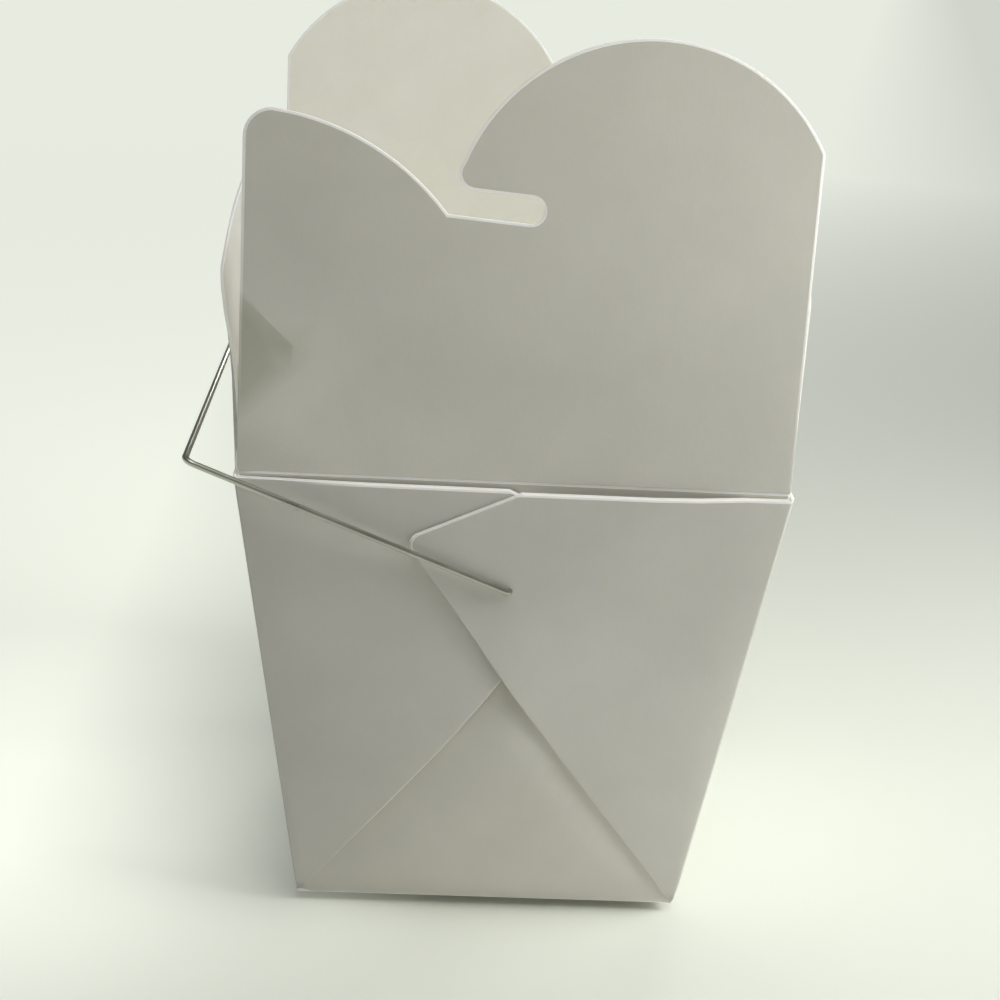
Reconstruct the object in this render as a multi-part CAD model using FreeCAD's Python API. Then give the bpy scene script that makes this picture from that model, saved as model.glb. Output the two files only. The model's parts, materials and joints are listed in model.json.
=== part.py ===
import FreeCAD, Part
import math
import os

# Chinese takeout box: one folded paperboard sheet, open at the top, and one steel wire bail.
# X runs along the two faces that carry the folded corner webs and the bail, Y from the front
# web face to the rear one, Z up. The origin is the centre of the flat of the base, which rests
# on Z = 0. Millimetres throughout.

Vector = FreeCAD.Vector

# ---- stock -------------------------------------------------------------------------------
board = 0.46                  # paperboard thickness
layer_gap = 0.08              # air between two lapped layers of board
wire_diameter = 1.2

# ---- carton body, outside sizes at its creases ----------------------------------------------
base_width = 76.2             # along X
base_depth = 82.6             # along Y
top_width = 101.6
top_depth = 108.0
wall_height = 92.6            # from the base crease up to the dust flap crease
base_rise = 2.2               # the base crease stands this far above the flat of the base
base_border = 12.0            # sloping border between the base crease and the flat
fold_radius = 0.4             # outside of a sharp fold

# ---- corner webs, folded double against the web faces -----------------------------------------
web_fold_angle = 34.9         # the web's folded edge, measured from the upright of its face
web_cut_offset = 1.1          # from the middle of the face to the start of the slanting cut
web_cut_angle = 25.8          # fall of the slanting cut
web_tip_radius = 2.2
web_top_clearance = 0.5       # the webs stop this far below the flap crease
hole_drop = 20.7              # bail hole below the top of the face, along the board
hole_clearance = 0.08         # air round the wire in its hole

# ---- flaps -------------------------------------------------------------------------------
crease_gap = 0.07             # air under the rounded foot of a flap
stack_gap = 0.10              # air between closed flaps that lie over each other
lock_side_gap = 0.7           # from the corner of the box to the side edge of a lock flap
lock_corner_height = 61.2     # of the lobe's outer corner
lobe_offset = 20.0            # top of the lobe from the middle of the flap
lobe_height = 79.1
hump_height = 64.2
hump_radius = 5.0
hump_rise = 3.5               # bow of the hump's long curve over its chord
mouth_offset = 14.4           # outer end of the slot from the middle of the flap
slot_end_offset = 0.3         # centre of the slot's round end from the middle of the flap
slot_height = 49.1            # the same centre above the crease
slot_width = 4.6
slot_tilt = 4.0               # the slot rises towards its mouth
hook_length = 10.4            # straight upper edge of the slot
hook_nose_back = 1.8          # from there to the start of the lobe's curve
hook_nose_height = 4.8
hook_nose_rise = 1.5
dust_end_gap = 3.4            # from the corner of the box to the end of a dust flap
dust_side_height = 37.0
dust_middle_height = 45.0
dust_corner_radius = 3.0
front_lock_lean = -2.5        # how far each flap leans outwards as it stands open
rear_lock_lean = 2.0
left_dust_lean = 5.0
right_dust_lean = 0.0

# ---- wire bail ---------------------------------------------------------------------------
bail_overhang = 7.966         # the crossbar lies this far out from the top of the left wall
bail_angle = 22.7             # of the arms above the level, as the bail lies at rest
bail_standoff = 4.4           # arm centre outside the face, along Y at the hole
bail_splay = 0.08             # outward slope of each arm
bail_foot_length = 6.0        # turned end inside the box
bail_foot_inset = 1.8         # turned end centre inside the wall, along Y
bail_eye_radius = 1.0         # bend radii at the wire's centre
bail_corner_radius = 1.8

# ---- worked out ----------------------------------------------------------------------------
slope_x = (top_width - base_width) / 2 / wall_height
slope_y = (top_depth - base_depth) / 2 / wall_height
lean_x = math.atan(slope_x)
lean_y = math.atan(slope_y)
board_x = board / math.cos(lean_x)
board_y = board / math.cos(lean_y)
gap_x = layer_gap / math.cos(lean_x)
gap_y = layer_gap / math.cos(lean_y)
lap_y = 2 * (board_y + gap_y)
face_length = wall_height / math.cos(lean_y)
corner_slope = (top_width - base_width) / 2 / face_length
rim_z = base_rise + wall_height
lock_step = board + stack_gap
front_lock_z = rim_z + lock_step
rear_lock_z = rim_z + 2 * lock_step
foot_gap = board / 2 + crease_gap
hole_height = face_length - hole_drop
hole_z = base_rise + hole_height * math.cos(lean_y)
hole_y = base_depth / 2 + hole_height * math.sin(lean_y)
wire_radius = wire_diameter / 2
bail_reach = (top_width / 2 + bail_overhang) / math.cos(math.radians(bail_angle))
past = 1.0                    # cutting blocks run this far past what they cut
room = 25.0                   # and this far out of a face, to clear its webs


# ---- blocks and plates ---------------------------------------------------------------------
def solid_of(loops):
    faces = [Part.Face(Part.makePolygon(loop + [loop[0]])) for loop in loops]
    return Part.makeSolid(Part.makeShell(faces))


def rectangle_at(z, half_x, half_y):
    return [Vector(-half_x, -half_y, z), Vector(half_x, -half_y, z),
            Vector(half_x, half_y, z), Vector(-half_x, half_y, z)]


def frustum(low, high):
    sides = [[low[i], low[(i + 1) % 4], high[(i + 1) % 4], high[i]] for i in range(4)]
    return solid_of([low[::-1], high] + sides)


# A block whose sides lie parallel to the walls, set in from their outer faces.
def wall_block(inset_x, inset_y, z_low, z_high):
    loops = []
    for z in (z_low, z_high):
        half_x = base_width / 2 + (z - base_rise) * slope_x - inset_x
        half_y = base_depth / 2 + (z - base_rise) * slope_y - inset_y
        loops.append(rectangle_at(z, half_x, half_y))
    return frustum(loops[0], loops[1])


def plate(outline, thickness_vector):
    return Part.Face(outline).extrude(thickness_vector)


# An arc that leaves the straight chord by a given rise, to its left for a positive rise.
def bowed_arc(start, end, rise, normal):
    chord = end - start
    side = normal.cross(chord)
    side.normalize()
    return Part.Arc(start, (start + end) * 0.5 + side * rise, end).toShape()


# A round corner between two straight edges: its two tangent points and its middle.
def round_corner(before, corner, after, radius):
    back = before - corner
    back.normalize()
    ahead = after - corner
    ahead.normalize()
    half = back.getAngle(ahead) / 2
    middle = back + ahead
    middle.normalize()
    reach = radius / math.tan(half)
    centre = corner + middle * (radius / math.sin(half))
    return corner + back * reach, centre - middle * radius, corner + ahead * reach


def line(start, end):
    return Part.LineSegment(start, end).toShape()


def turned(shape):
    copy = shape.copy()
    copy.rotate(Vector(0, 0, 0), Vector(0, 0, 1), 180)
    return copy


# ---- carton body ---------------------------------------------------------------------------
# The base: a flat in the middle and a border that slopes up to the creases.
def base_panel():
    crease = rectangle_at(base_rise, base_width / 2, base_depth / 2)
    flat = rectangle_at(0, base_width / 2 - base_border, base_depth / 2 - base_border)
    outer = frustum(flat, crease)
    lift = Vector(0, 0, board / math.cos(math.atan(base_rise / base_border)))
    inner = frustum([p + lift for p in flat], [p + lift for p in crease])
    cover = wall_block(0, 0, base_rise, base_rise + 2 * board)
    return outer.fuse(cover).cut(inner).cut(wall_block(board_x, board_y, base_rise, base_rise + past))


def side_walls():
    top = rim_z - foot_gap
    return wall_block(0, -lap_y, base_rise, top).cut(wall_block(board_x, -lap_y - past, base_rise, top))


def web_face_wall(crease_z, side):
    top = crease_z - foot_gap
    inset = board_x + gap_x
    walls = wall_block(inset, 0, base_rise, top).cut(wall_block(inset - past, board_y, base_rise, top))
    keep = Part.makeBox(2 * top_width, top_depth, 2 * rim_z, Vector(-top_width, 0, 0))
    if side < 0:
        keep.translate(Vector(0, -top_depth, 0))
    return walls.common(keep)


# The hems where each web face turns back on itself to become the inner layer of a web.
def web_hems():
    inset = board_x + gap_x
    reach = gap_y + board_y
    top = rim_z - web_top_clearance
    strips = wall_block(inset, -reach, base_rise, top)
    strips = strips.cut(wall_block(inset + board_x, -reach - past, base_rise, top))
    return strips.cut(wall_block(inset - past, board_y, base_rise, top))


# Outline of one web in the plane of its face: X from the middle of the face, Y up the board.
def web_outline(reach_out):
    top = face_length - web_top_clearance
    fold = math.radians(web_fold_angle)
    fall = math.tan(math.radians(web_cut_angle))
    cut_start = Vector(web_cut_offset, top, 0)
    run = base_width / 2 - math.tan(fold) * top - web_cut_offset
    tip_back = run / (1 + math.tan(fold) * fall)
    tip = Vector(web_cut_offset + tip_back, top + tip_back * fall, 0)
    foot = Vector(base_width / 2, 0, 0)
    low = foot + Vector(reach_out, 0, 0)
    high = Vector(base_width / 2 + corner_slope * top + reach_out, top, 0)
    return foot, tip, cut_start, high, low


# Where a point of the web's outline goes in space, on the front face's right-hand web.
# The web is swung out about the corner edge, so that it lies over the web beneath.
def web_point(flat, height, swing):
    foot = Vector(base_width / 2, -base_depth / 2, base_rise)
    up = Vector(0, -math.sin(lean_y), math.cos(lean_y))
    out = Vector(0, -math.cos(lean_y), -math.sin(lean_y))
    edge = Vector(1, 0, 0) * corner_slope + up
    edge.normalize()
    inward = out.cross(edge)
    inward.normalize()
    if inward.x > 0:
        inward = inward * -1
    spot = Vector(1, 0, 0) * (flat.x - base_width / 2) + up * flat.y
    along = spot.dot(edge)
    across = spot.dot(inward)
    swung_in = inward * math.cos(swing) + out * math.sin(swing)
    swung_out = out * math.cos(swing) - inward * math.sin(swing)
    return foot + edge * along + swung_in * across + swung_out * height


def web_layer(low_height, high_height, swing):
    foot, tip, cut_start, high, low = web_outline(past)
    first, middle, last = round_corner(foot, tip, cut_start, web_tip_radius)
    spots = [web_point(p, low_height, swing) for p in (foot, first, middle, last, cut_start, high, low)]
    edges = [line(spots[0], spots[1]), Part.Arc(spots[1], spots[2], spots[3]).toShape(),
             line(spots[3], spots[4]), line(spots[4], spots[5]),
             line(spots[5], spots[6]), line(spots[6], spots[0])]
    rise = web_point(foot, high_height, swing) - web_point(foot, low_height, swing)
    return plate(Part.Wire(edges), rise)


# The hem along the web's folded edge, which joins its two layers.
def web_fold(low_height, high_height, swing):
    foot, tip, cut_start, high, low = web_outline(past)
    first, middle, last = round_corner(foot, tip, cut_start, web_tip_radius)
    side = Vector(foot.y - first.y, first.x - foot.x, 0)
    side.normalize()
    side = side * -board
    flat = [foot, first, first + side, foot + side]
    spots = [web_point(p, low_height, swing) for p in flat]
    rise = web_point(foot, high_height, swing) - web_point(foot, low_height, swing)
    return plate(Part.makePolygon(spots + [spots[0]]), rise)


# The swing that lifts one web's inner layer over the folded tip of the other.
def over_swing():
    foot, tip, cut_start, high, low = web_outline(0)
    span = base_width / 2 + corner_slope * tip.y + tip.x
    return math.asin((2 * board + 2 * layer_gap) / span)


def web(swing):
    inner = web_layer(layer_gap, layer_gap + board, swing)
    inner = inner.common(wall_block(board_x + gap_x, -room, base_rise - past, rim_z))
    outer = web_layer(2 * layer_gap + board, 2 * (layer_gap + board), swing)
    outer = outer.common(wall_block(0, -room, base_rise - past, rim_z))
    return [inner, outer, web_fold(layer_gap, 2 * (layer_gap + board), swing)]


# The four upright edges where a side wall turns into the outer layer of a web.
def corner_folds(body):
    middle_x = (base_width + top_width) / 4
    middle_y = (base_depth + top_depth) / 4 + lap_y
    folds = []
    for edge in body.Edges:
        centre = edge.CenterOfMass
        upright = edge.Length > wall_height * 0.9
        on_side = abs(abs(centre.x) - middle_x) < board / 2
        if upright and on_side and abs(centre.y) > middle_y - board / 4:
            folds.append(edge)
    return folds


def bail_holes():
    radius = wire_radius + hole_clearance
    return Part.makeCylinder(radius, 2 * top_depth, Vector(0, -top_depth, hole_z), Vector(0, 1, 0))


def carton_body():
    over = web(over_swing())
    under = [piece.mirror(Vector(0, 0, 0), Vector(1, 0, 0)) for piece in web(0)]
    pieces = over + under + [turned(piece) for piece in over + under]
    pieces += [side_walls(), web_hems(), web_face_wall(front_lock_z, -1), web_face_wall(rear_lock_z, 1)]
    body = base_panel().multiFuse(pieces).removeSplitter()
    body = body.makeFillet(fold_radius, corner_folds(body))
    return body.cut(bail_holes())


# ---- flaps -------------------------------------------------------------------------------
# Each flap is drawn standing over the X axis, with its crease along X at Z = 0 and its outer
# face towards -Y. Its foot is rounded about the crease, so that it turns there.
def flap_foot(half_length):
    half = board / 2
    section = [line(Vector(-half_length, -half, board), Vector(-half_length, -half, 0)),
               Part.Arc(Vector(-half_length, -half, 0), Vector(-half_length, 0, -half),
                        Vector(-half_length, half, 0)).toShape(),
               line(Vector(-half_length, half, 0), Vector(-half_length, half, board)),
               line(Vector(-half_length, half, board), Vector(-half_length, -half, board))]
    return plate(Part.Wire(section), Vector(2 * half_length, 0, 0))


def at(x, z):
    return Vector(x, -board / 2, z)


def lock_flap():
    half = top_width / 2 - lock_side_gap
    tilt = math.radians(slot_tilt)
    along = Vector(-math.cos(tilt), 0, math.sin(tilt))
    across = Vector(math.sin(tilt), 0, math.cos(tilt)) * (slot_width / 2)
    slot_end = at(-slot_end_offset, slot_height)
    mouth_run = (mouth_offset - slot_end_offset) / math.cos(tilt)
    mouth = slot_end + along * mouth_run - across
    hook = slot_end + along * hook_length + across
    nose = hook + Vector(-hook_nose_back, 0, hook_nose_height)
    normal = Vector(0, 1, 0)
    edges = [line(at(-half, board), at(-half, hump_height - hump_radius)),
             Part.Arc(at(-half, hump_height - hump_radius),
                      at(-half + hump_radius * (1 - math.sqrt(0.5)),
                         hump_height - hump_radius * (1 - math.sqrt(0.5))),
                      at(-half + hump_radius, hump_height)).toShape(),
             bowed_arc(at(-half + hump_radius, hump_height), mouth, -hump_rise, normal),
             line(mouth, slot_end - across),
             Part.Arc(slot_end - across, slot_end - along * (slot_width / 2), slot_end + across).toShape(),
             line(slot_end + across, hook),
             bowed_arc(hook, nose, -hook_nose_rise, normal),
             Part.Arc(nose, at(lobe_offset, lobe_height), at(half, lock_corner_height)).toShape(),
             line(at(half, lock_corner_height), at(half, board)),
             line(at(half, board), at(-half, board))]
    leaf = plate(Part.Wire(edges), Vector(0, board, 0))
    return leaf.fuse(flap_foot(half)).removeSplitter()


def dust_flap():
    half = top_depth / 2 - dust_end_gap
    radius = dust_corner_radius
    side = dust_side_height - radius
    bend = radius * (1 - math.sqrt(0.5))
    edges = [line(at(-half, board), at(-half, side)),
             Part.Arc(at(-half, side), at(-half + bend, side + radius - bend),
                      at(-half + radius, side + radius)).toShape(),
             Part.Arc(at(-half + radius, side + radius), at(0, dust_middle_height),
                      at(half - radius, side + radius)).toShape(),
             Part.Arc(at(half - radius, side + radius), at(half - bend, side + radius - bend),
                      at(half, side)).toShape(),
             line(at(half, side), at(half, board)),
             line(at(half, board), at(-half, board))]
    leaf = plate(Part.Wire(edges), Vector(0, board, 0))
    return leaf.fuse(flap_foot(half)).removeSplitter()


# Leans a flap outwards on its crease, then stands it on its wall.
def stand(flap, lean, quarter_turns, crease_distance, crease_z):
    placed = flap.copy()
    placed.rotate(Vector(0, 0, 0), Vector(1, 0, 0), lean)
    placed.translate(Vector(0, -crease_distance, crease_z))
    placed.rotate(Vector(0, 0, 0), Vector(0, 0, 1), 90 * quarter_turns)
    return placed


# The crease runs up the middle of its wall's board.
def crease_reach(base_size, slope, crease_z):
    return base_size / 2 + (crease_z - base_rise) * slope - board / 2


# ---- wire bail ---------------------------------------------------------------------------
# One bent wire: a turned foot inside each wall, a pin through the hole, an arm and the crossbar.
def bail_points():
    arm_y = hole_y + bail_standoff
    end_y = arm_y + bail_reach * bail_splay
    foot_y = hole_y - board_y - bail_foot_inset
    angle = math.radians(bail_angle)
    away = Vector(-math.cos(angle), 0, math.sin(angle))
    eye = Vector(0, 0, hole_z)
    front = [eye + Vector(0, -foot_y, -bail_foot_length), eye + Vector(0, -foot_y, 0),
             eye + Vector(0, -arm_y, 0), eye + away * bail_reach + Vector(0, -end_y, 0)]
    rear = [Vector(p.x, -p.y, p.z) for p in reversed(front)]
    return front + rear


def wire_bail():
    points = bail_points()
    radii = [bail_eye_radius, bail_eye_radius, bail_corner_radius]
    radii = radii + radii[::-1]
    edges = []
    start = points[0]
    for i in range(1, len(points) - 1):
        first, middle, last = round_corner(points[i - 1], points[i], points[i + 1], radii[i - 1])
        edges.append(line(start, first))
        edges.append(Part.Arc(first, middle, last).toShape())
        start = last
    edges.append(line(start, points[-1]))
    path = Part.Wire(edges)
    section = Part.Wire(Part.makeCircle(wire_radius, points[0], points[1] - points[0]))
    return path.makePipeShell([section], True, False)


# ---- nodes -------------------------------------------------------------------------------
def nodes():
    front_reach = crease_reach(base_depth, slope_y, front_lock_z)
    rear_reach = crease_reach(base_depth, slope_y, rear_lock_z)
    dust_reach = crease_reach(base_width, slope_x, rim_z)
    lock = lock_flap()
    dust = dust_flap()
    return {
        "carton_body": carton_body(),
        "front_lock_flap": stand(lock, front_lock_lean, 0, front_reach, front_lock_z),
        "rear_lock_flap": stand(lock, rear_lock_lean, 2, rear_reach, rear_lock_z),
        "left_dust_flap": stand(dust, left_dust_lean, 3, dust_reach, rim_z),
        "right_dust_flap": stand(dust, right_dust_lean, 1, dust_reach, rim_z),
        "wire_bail": wire_bail(),
    }


os.makedirs("parts", exist_ok=True)
for name, shape in nodes().items():
    shape.exportStep("parts/" + name + ".step")
    print(name, shape.isValid(), len(shape.Solids), round(shape.Volume, 1))
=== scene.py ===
import json
import math

import bmesh
import bpy
from mathutils import Matrix, Vector


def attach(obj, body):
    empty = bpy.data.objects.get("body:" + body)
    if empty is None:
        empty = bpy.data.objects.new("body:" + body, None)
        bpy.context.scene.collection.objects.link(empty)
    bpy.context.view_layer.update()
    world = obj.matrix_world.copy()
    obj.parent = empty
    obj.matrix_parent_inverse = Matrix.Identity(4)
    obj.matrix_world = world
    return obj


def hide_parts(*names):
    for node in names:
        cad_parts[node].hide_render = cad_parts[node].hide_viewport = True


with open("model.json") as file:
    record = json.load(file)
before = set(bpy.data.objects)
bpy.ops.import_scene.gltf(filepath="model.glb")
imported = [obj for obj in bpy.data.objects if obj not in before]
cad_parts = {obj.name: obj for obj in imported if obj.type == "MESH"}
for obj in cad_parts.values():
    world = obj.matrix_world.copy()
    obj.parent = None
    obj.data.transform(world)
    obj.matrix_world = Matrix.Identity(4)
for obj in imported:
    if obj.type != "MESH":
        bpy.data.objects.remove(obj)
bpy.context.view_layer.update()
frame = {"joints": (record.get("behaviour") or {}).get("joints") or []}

hinges = {joint["name"]: Vector(joint["pos_m"]) * 1000 for joint in frame["joints"]}

# The pieces are shaped in millimetres and shrunk to metres when they are finished.
# X runs along the two faces with the folded webs, -Y is the front, Z is up.


# hand tools
def makeActive(piece):
    bpy.ops.object.select_all(action="DESELECT")
    piece.select_set(True)
    bpy.context.view_layer.objects.active = piece


def openEdit(piece):
    makeActive(piece)
    bpy.ops.object.mode_set(mode="EDIT")
    bpy.ops.mesh.select_mode(type="VERT")
    bpy.ops.mesh.select_all(action="DESELECT")


def closeEdit():
    bpy.ops.object.mode_set(mode="OBJECT")


# selects the points, edges or faces that pass the test
def pick(piece, kind, test):
    bpy.ops.mesh.select_mode(type=kind)
    bpy.ops.mesh.select_all(action="DESELECT")
    sheet = bmesh.from_edit_mesh(piece.data)
    for item in {"VERT": sheet.verts, "EDGE": sheet.edges, "FACE": sheet.faces}[kind]:
        if test(item):
            item.select_set(True)
    sheet.select_flush_mode()
    bmesh.update_edit_mesh(piece.data)


# names the piece that was just added
def named(name):
    piece = bpy.context.object
    piece.name = name
    piece.data.name = name
    return piece


def addModifier(piece, kind, **settings):
    makeActive(piece)
    bpy.ops.object.modifier_add(type=kind)
    modifier = piece.modifiers[-1]
    for setting, value in settings.items():
        setattr(modifier, setting, value)
    bpy.ops.object.modifier_apply(modifier=modifier.name)


def toMetres(piece):
    makeActive(piece)
    bpy.ops.object.transform_apply(location=True, rotation=True, scale=True)
    piece.scale = (0.001, 0.001, 0.001)
    bpy.ops.object.transform_apply(location=True, rotation=True, scale=True)


# climbs smoothly from 0 at low to 1 at high
def ease(value, low, high):
    share = min(1, max(0, (value - low) / (high - low)))
    return share * share * (3 - 2 * share)


def between(start, end, share):
    return start + (end - start) * share


# the board that everything but the wire is made of
board = dict(
    thickness=0.46,
    layerGap=0.08,
    lip=0.42,            # width of the paler line beside a die-cut edge, a painted highlight for the light the edge catches
    lipFade=0.12,
    cutRound=0.15,       # rounding of a cut edge
    creaseOverlap=0.04,  # a wall stops this far under the axis of its flap's crease
    sharpFrom=60,        # an edge that turns more than this is rounded
    smoothTo=38,         # one that turns less is shaded smooth
)
thick = board["thickness"]
half = thick / 2


# gives a mid-surface sheet its thickness; its back and its cut edges get materials of their own
def thicken(piece):
    addModifier(piece, "SOLIDIFY", thickness=thick, offset=0, use_even_offset=True,
                use_quality_normals=True, use_rim=True, material_offset=1, material_offset_rim=2)
    openEdit(piece)
    bpy.ops.mesh.select_all(action="SELECT")
    bpy.ops.mesh.normals_make_consistent(inside=False)
    closeEdit()


def roundCuts(piece, width):
    addModifier(piece, "BEVEL", width=width, segments=3, limit_method="ANGLE",
                angle_limit=math.radians(board["sharpFrom"]), use_clamp_overlap=True)
    openEdit(piece)
    bpy.ops.mesh.select_all(action="SELECT")
    bpy.ops.mesh.dissolve_degenerate(threshold=0.002)
    closeEdit()
    bpy.ops.object.shade_smooth_by_angle(angle=math.radians(board["smoothTo"]))


# materials
boardLook = dict(
    colour=(0.758, 0.748, 0.685),
    insideLitColour=(0.93, 0.912, 0.815),  # the uncoated side, painted lighter and given more glow than the face, as painted light for the lit far flap
    edgeColour=(0.95, 0.94, 0.87),
    buckleShadeColour=(0.80, 0.82, 0.77),   # what the buckle's painted shade leaves of the colour
    cloudTint=0.955,                    # what the darker clouds leave of it
    fibreTint=(0.985, 0.965, 0.92), fibreShare=0.6,
    roughness=0.58, gloss=0.35,
    faceGlow=0.40, insideGlow=1.0, edgeGlow=0.95,  # share of the light that passes into the thin board
    edgePaintedGlow=0.12,                     # a faint emission on cut edges and their lips, a painted glow
    glowTint=(1.0, 0.97, 0.86),
    glowDepth=0.0010,
    grain=2600, grainStretch=(1.0, 1.0, 0.35),     # fibres, per metre
    mottle=90,
    waves=260, waveHeight=2.2,          # a slower unevenness, higher than the fibres
    grainBump=0.10, cutBump=0.35, bumpDepth=0.0002,
)


# a short hand for wiring a material
class Tree:
    def __init__(self, name):
        self.material = bpy.data.materials.new(name)
        self.material.use_nodes = True
        self.nodes = self.material.node_tree.nodes
        self.links = self.material.node_tree.links
        self.shader = self.nodes["Principled BSDF"]

    def add(self, kind, **settings):
        node = self.nodes.new(kind)
        for setting, value in settings.items():
            if setting in node.inputs:
                node.inputs[setting].default_value = value
            else:
                setattr(node, setting, value)
        return node

    def join(self, source, target):
        self.links.new(source, target)

    def mixColour(self, share, first, second, blend="MIX"):
        node = self.nodes.new("ShaderNodeMix")
        node.data_type = "RGBA"
        node.blend_type = blend
        shareInput, firstInput, secondInput = node.inputs[0], node.inputs[6], node.inputs[7]
        for socket, value in ((shareInput, share), (firstInput, first), (secondInput, second)):
            if isinstance(value, bpy.types.NodeSocket):
                self.join(value, socket)
            elif isinstance(value, (int, float)):
                socket.default_value = value
            else:
                socket.default_value = (*value, 1)
        return node.outputs[2]

    def math(self, operation, first, second=0.0, third=0.0):
        node = self.nodes.new("ShaderNodeMath")
        node.operation = operation
        for socket, value in zip(node.inputs, (first, second, third)):
            if isinstance(value, bpy.types.NodeSocket):
                self.join(value, socket)
            else:
                socket.default_value = value
        return node.outputs[0]

    def ramp(self, source, low, high, toLow=0.0, toHigh=1.0):
        node = self.nodes.new("ShaderNodeMapRange")
        self.join(source, node.inputs["Value"])
        for socket, value in zip(node.inputs[1:5], (low, high, toLow, toHigh)):
            socket.default_value = value
        return node.outputs[0]

    def noise(self, place, scale, detail=3.0, roughness=0.55):
        node = self.add("ShaderNodeTexNoise", Scale=scale, Detail=detail, Roughness=roughness)
        self.join(place, node.inputs["Vector"])
        return node.outputs["Fac"]

    def distance(self, place, centre):
        node = self.add("ShaderNodeVectorMath", operation="DISTANCE")
        self.join(place, node.inputs[0])
        node.inputs[1].default_value = centre
        return node.outputs["Value"]


# board with fibres and clouds; a face of it is painted paler on its lips, a painted highlight, and darker on
# the buckle, a painted shade
def paperboard(name, look, base, glow, cutEdge=False):
    tree = Tree(name)
    place = tree.add("ShaderNodeTexCoord").outputs["Object"]
    stretch = tree.add("ShaderNodeMapping")
    stretch.inputs["Scale"].default_value = look["grainStretch"]
    tree.join(place, stretch.inputs["Vector"])
    fibres = tree.noise(stretch.outputs[0], look["grain"], 4.0, 0.65)
    cloud = tree.noise(place, look["mottle"], 3.0, 0.5)
    wave = tree.noise(place, look["waves"], 2.0, 0.5)
    darker = tuple(channel * look["cloudTint"] for channel in base)
    colour = tree.mixColour(tree.ramp(cloud, 0.3, 0.7), darker, base)
    warm = tuple(channel * tint for channel, tint in zip(base, look["fibreTint"]))
    colour = tree.mixColour(tree.ramp(fibres, 0.52, 0.74, 0.0, look["fibreShare"]), colour, warm)
    if not cutEdge:
        # painted highlight: a face is paler on its lips, beside the cut edges and along the base crease
        lipHighlight = tree.add("ShaderNodeAttribute", attribute_name="cutEdge").outputs["Fac"]
        colour = tree.mixColour(tree.ramp(lipHighlight, 0.1, 0.9), colour, look["edgeColour"])
        # painted shade: the buckle's face is darkened by multiplying its colour
        buckleShade = tree.add("ShaderNodeAttribute", attribute_name="buckleShade").outputs["Fac"]
        colour = tree.mixColour(buckleShade, colour, look["buckleShadeColour"], "MULTIPLY")
    tree.join(colour, tree.shader.inputs["Base Color"])
    rough = tree.ramp(fibres, 0.3, 0.7, look["roughness"] - 0.06, look["roughness"] + 0.08)
    tree.join(rough, tree.shader.inputs["Roughness"])
    height = tree.math("MULTIPLY_ADD", wave, look["waveHeight"], fibres)
    bump = tree.add("ShaderNodeBump", Strength=look["cutBump" if cutEdge else "grainBump"],
                    Distance=look["bumpDepth"])
    tree.join(height, bump.inputs["Height"])
    tree.join(bump.outputs["Normal"], tree.shader.inputs["Normal"])
    tree.shader.inputs["Specular IOR Level"].default_value = look["gloss"]
    tree.shader.inputs["Emission Color"].default_value = (*look["edgeColour"], 1)
    # painted glow: cut edges and lips give off a faint emission
    if cutEdge:
        tree.shader.inputs["Subsurface Weight"].default_value = glow
        tree.shader.inputs["Emission Strength"].default_value = look["edgePaintedGlow"]
    else:
        lipGlow = tree.ramp(lipHighlight, 0.1, 0.9, glow, look["edgeGlow"])
        tree.join(lipGlow, tree.shader.inputs["Subsurface Weight"])
        lipPaintedGlow = tree.ramp(lipHighlight, 0.1, 0.9, 0.0, look["edgePaintedGlow"])
        tree.join(lipPaintedGlow, tree.shader.inputs["Emission Strength"])
    tree.shader.inputs["Subsurface Radius"].default_value = look["glowTint"]
    tree.shader.inputs["Subsurface Scale"].default_value = look["glowDepth"]
    return tree.material


def drawnSteel(name, look):
    tree = Tree(name)
    place = tree.add("ShaderNodeTexCoord").outputs["Object"]
    streak = tree.noise(place, look["streaks"], 2.0, 0.5)
    colour = tree.mixColour(tree.ramp(streak, 0.3, 0.7), look["dark"], look["bright"])
    tree.join(colour, tree.shader.inputs["Base Color"])
    tree.join(tree.ramp(streak, 0.3, 0.7, look["roughness"] - 0.05, look["roughness"] + 0.07),
              tree.shader.inputs["Roughness"])
    tree.shader.inputs["Metallic"].default_value = 1.0
    return tree.material


wireLook = dict(dark=(0.46, 0.46, 0.41), bright=(0.58, 0.58, 0.52), roughness=0.32, streaks=120)
boardFace = paperboard("boardFace", boardLook, boardLook["colour"], boardLook["faceGlow"])
boardInside = paperboard("boardInside", boardLook, boardLook["insideLitColour"], boardLook["insideGlow"])
boardCut = paperboard("boardCutEdge", boardLook, boardLook["edgeColour"], boardLook["edgeGlow"],
                      cutEdge=True)
wireSteel = drawnSteel("wireSteel", wireLook)


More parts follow.
